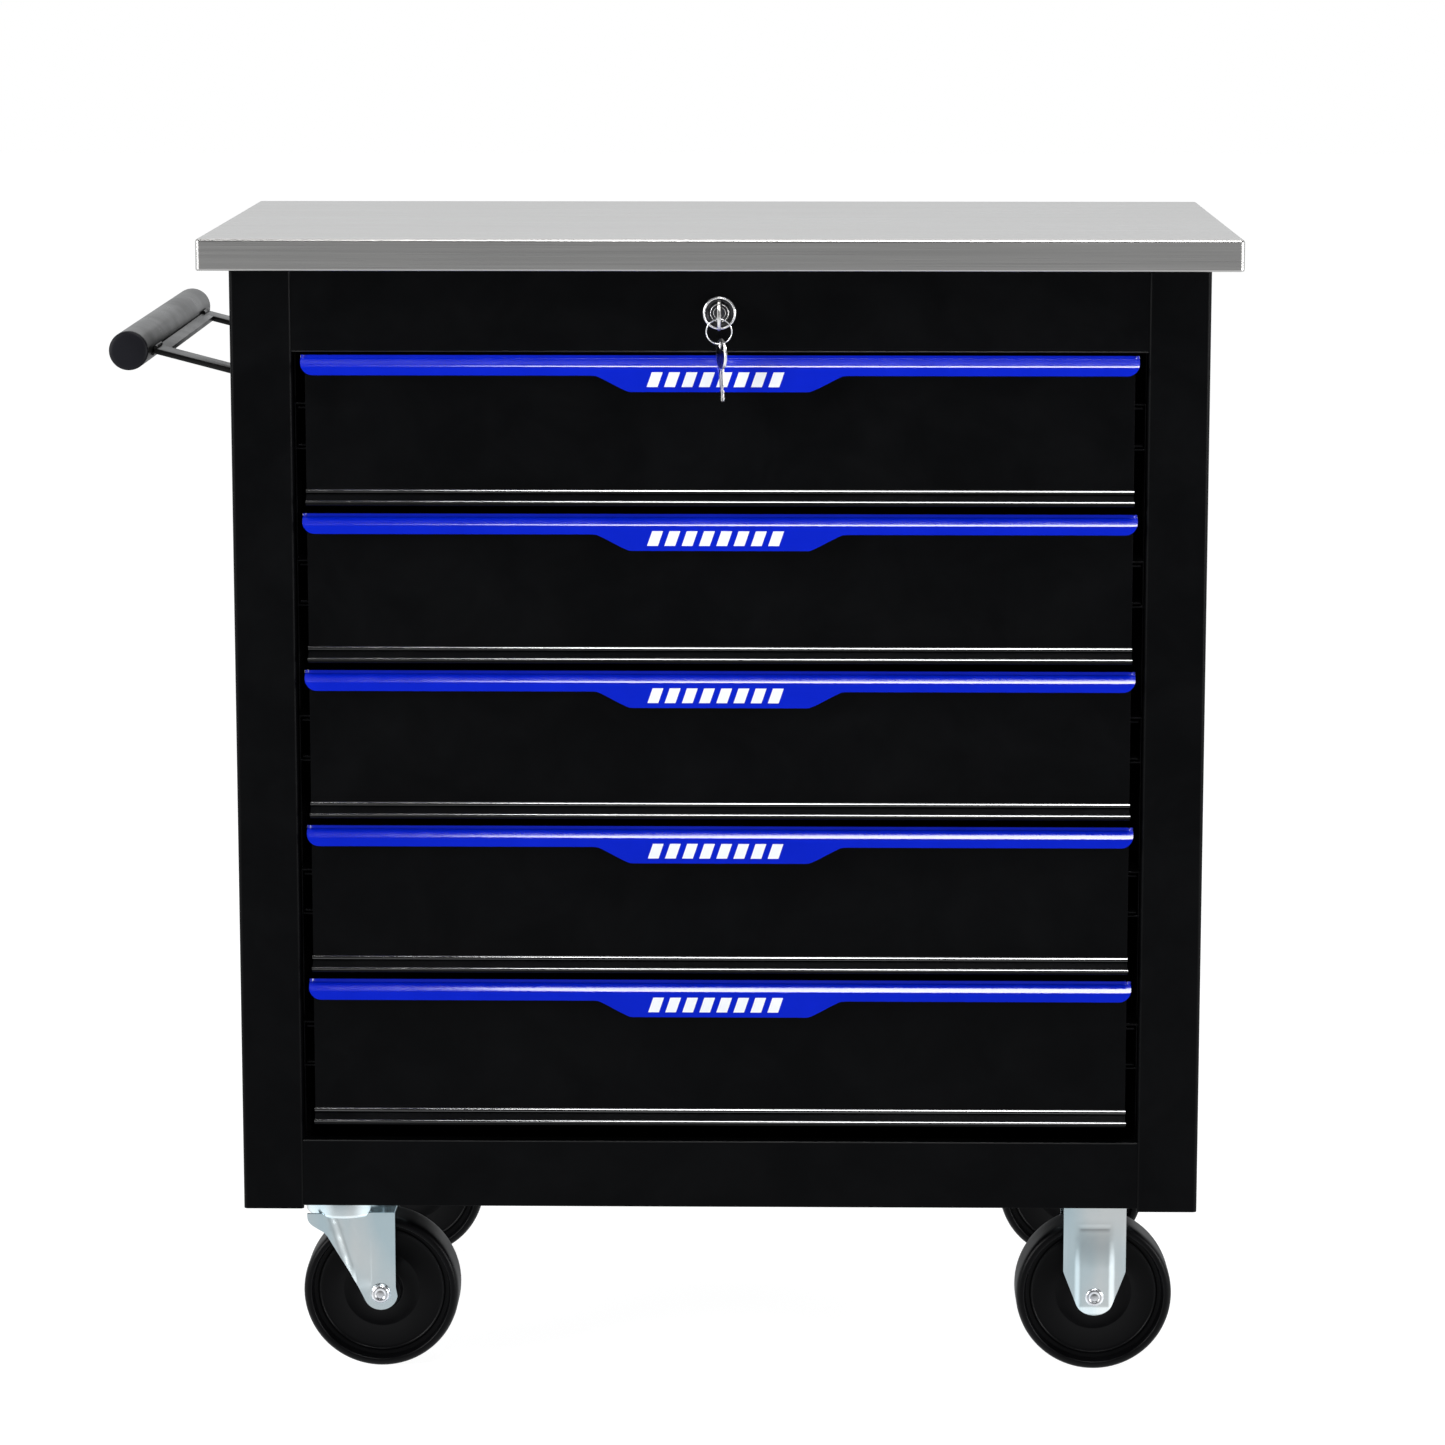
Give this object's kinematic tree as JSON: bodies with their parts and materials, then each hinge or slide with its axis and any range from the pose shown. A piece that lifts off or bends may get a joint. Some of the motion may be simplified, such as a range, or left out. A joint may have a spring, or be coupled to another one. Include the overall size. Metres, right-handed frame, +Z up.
{
  "type": "rolling tool chest",
  "caption": "Low rolling tool chest of folded sheet steel with full-width drawers, moulded pull strips, a stainless worktop, cam lock, side push handle and casters.",
  "frame": {"origin": "centre of the whole footprint's box (push handle and key included) on the floor", "axes": "+Z up, +X to the right of a person facing the drawers, the drawers open towards -Y, the push handle is on the -X side"},
  "size_m": [0.7119, 0.3729, 0.742],
  "materials": {
    "powder_coat": "satin black powder coat with a fine orange-peel texture",
    "stainless": "stainless sheet brushed along its length, bright on the bends",
    "board": "plain medium-density board, unseen",
    "pull_blue": "glossy moulded royal-blue plastic",
    "zinc": "bright zinc plating with a faint blue cast",
    "wheel_black": "moulded black hard plastic, slightly worn on the tread",
    "lock_chrome": "polished nickel-chrome plating",
    "slide_steel": "zinc-plated roll-formed strip",
    "cap_black": "matte black moulded plastic"
  },
  "bodies": {
    "root": {"side_panel_left": "powder_coat", "side_panel_right": "powder_coat", "back_panel": "powder_coat", "floor_panel": "powder_coat", "top_rail": "powder_coat", "bottom_rail": "powder_coat", "worktop_skin": "stainless", "worktop_board": "board", "slide_rack_left": "slide_steel", "slide_rack_right": "slide_steel", "caster_front_left_plate": "zinc", "caster_rear_left_plate": "zinc", "caster_front_right_bracket": "zinc", "caster_front_right_axle": "zinc", "caster_rear_right_bracket": "zinc", "caster_rear_right_axle": "zinc", "push_handle_tube": "powder_coat", "push_handle_bracket": "powder_coat", "push_handle_cap_front": "cap_black", "push_handle_cap_rear": "cap_black", "lock_housing": "lock_chrome"},
    "drawer_1": {"drawer_1_front": "powder_coat", "drawer_1_tray": "powder_coat", "drawer_1_pull": "pull_blue", "drawer_1_runner_left": "slide_steel", "drawer_1_runner_right": "slide_steel"},
    "drawer_2": {"drawer_2_front": "powder_coat", "drawer_2_tray": "powder_coat", "drawer_2_pull": "pull_blue", "drawer_2_runner_left": "slide_steel", "drawer_2_runner_right": "slide_steel"},
    "drawer_3": {"drawer_3_front": "powder_coat", "drawer_3_tray": "powder_coat", "drawer_3_pull": "pull_blue", "drawer_3_runner_left": "slide_steel", "drawer_3_runner_right": "slide_steel"},
    "drawer_4": {"drawer_4_front": "powder_coat", "drawer_4_tray": "powder_coat", "drawer_4_pull": "pull_blue", "drawer_4_runner_left": "slide_steel", "drawer_4_runner_right": "slide_steel"},
    "drawer_5": {"drawer_5_front": "powder_coat", "drawer_5_tray": "powder_coat", "drawer_5_pull": "pull_blue", "drawer_5_runner_left": "slide_steel", "drawer_5_runner_right": "slide_steel"},
    "lock_plug": {"lock_plug": "lock_chrome", "lock_rod": "slide_steel"},
    "lock_bar": {"lock_bar": "slide_steel"},
    "key": {"key_in_lock": "lock_chrome"},
    "key_ring": {"key_ring": "lock_chrome"},
    "caster_front_left_swivel": {"caster_front_left_fork": "zinc", "caster_front_left_axle": "zinc"},
    "caster_front_left_wheel": {"caster_front_left_wheel": "wheel_black"},
    "caster_rear_left_swivel": {"caster_rear_left_fork": "zinc", "caster_rear_left_axle": "zinc"},
    "caster_rear_left_wheel": {"caster_rear_left_wheel": "wheel_black"},
    "caster_front_right_wheel": {"caster_front_right_wheel": "wheel_black"},
    "caster_rear_right_wheel": {"caster_rear_right_wheel": "wheel_black"}
  },
  "joints": [
    {"name": "drawer_1_slide", "type": "slide", "parent": "root", "child": "drawer_1", "axis": [0, -1, 0], "range_m": [0, 0.22]},
    {"name": "drawer_2_slide", "type": "slide", "parent": "root", "child": "drawer_2", "axis": [0, -1, 0], "range_m": [0, 0.22]},
    {"name": "drawer_3_slide", "type": "slide", "parent": "root", "child": "drawer_3", "axis": [0, -1, 0], "range_m": [0, 0.22]},
    {"name": "drawer_4_slide", "type": "slide", "parent": "root", "child": "drawer_4", "axis": [0, -1, 0], "range_m": [0, 0.22]},
    {"name": "drawer_5_slide", "type": "slide", "parent": "root", "child": "drawer_5", "axis": [0, -1, 0], "range_m": [0, 0.22]},
    {"name": "lock_turn", "type": "hinge", "parent": "root", "child": "lock_plug", "pos_m": [0.029, -0.1585, 0.695], "axis": [0, 1, 0], "range_deg": [0, 90]},
    {"name": "lock_bar_lift", "type": "slide", "parent": "root", "child": "lock_bar", "axis": [0, 0, 1], "range_m": [0, 0.0141]},
    {"name": "key_pull", "type": "slide", "parent": "lock_plug", "child": "key", "axis": [0, -1, 0], "range_m": [0, 0.02]},
    {"name": "key_ring_swing", "type": "hinge", "parent": "key", "child": "key_ring", "pos_m": [0.029, -0.1825, 0.6944], "axis": [-1, 0, 0], "range_deg": [-8, 90]},
    {"name": "caster_front_left_swivel_turn", "type": "hinge", "parent": "root", "child": "caster_front_left_swivel", "pos_m": [-0.217, -0.1185, 0.105], "axis": [0, 0, 1], "continuous": true},
    {"name": "caster_front_left_wheel_roll", "type": "hinge", "parent": "caster_front_left_swivel", "child": "caster_front_left_wheel", "pos_m": [-0.193, -0.1185, 0.0508], "axis": [0, 1, 0], "continuous": true},
    {"name": "caster_rear_left_swivel_turn", "type": "hinge", "parent": "root", "child": "caster_rear_left_swivel", "pos_m": [-0.217, 0.1315, 0.105], "axis": [0, 0, 1], "continuous": true},
    {"name": "caster_rear_left_wheel_roll", "type": "hinge", "parent": "caster_rear_left_swivel", "child": "caster_rear_left_wheel", "pos_m": [-0.193, 0.1315, 0.0508], "axis": [0, 1, 0], "continuous": true},
    {"name": "caster_front_right_wheel_roll", "type": "hinge", "parent": "root", "child": "caster_front_right_wheel", "pos_m": [0.273, -0.1185, 0.0508], "axis": [0, 1, 0], "continuous": true},
    {"name": "caster_rear_right_wheel_roll", "type": "hinge", "parent": "root", "child": "caster_rear_right_wheel", "pos_m": [0.273, 0.1315, 0.0508], "axis": [0, 1, 0], "continuous": true}
  ],
  "couplings": [
    {"joint": "lock_turn", "follows": "lock_bar_lift", "rad_per_m": 111.11}
  ]
}
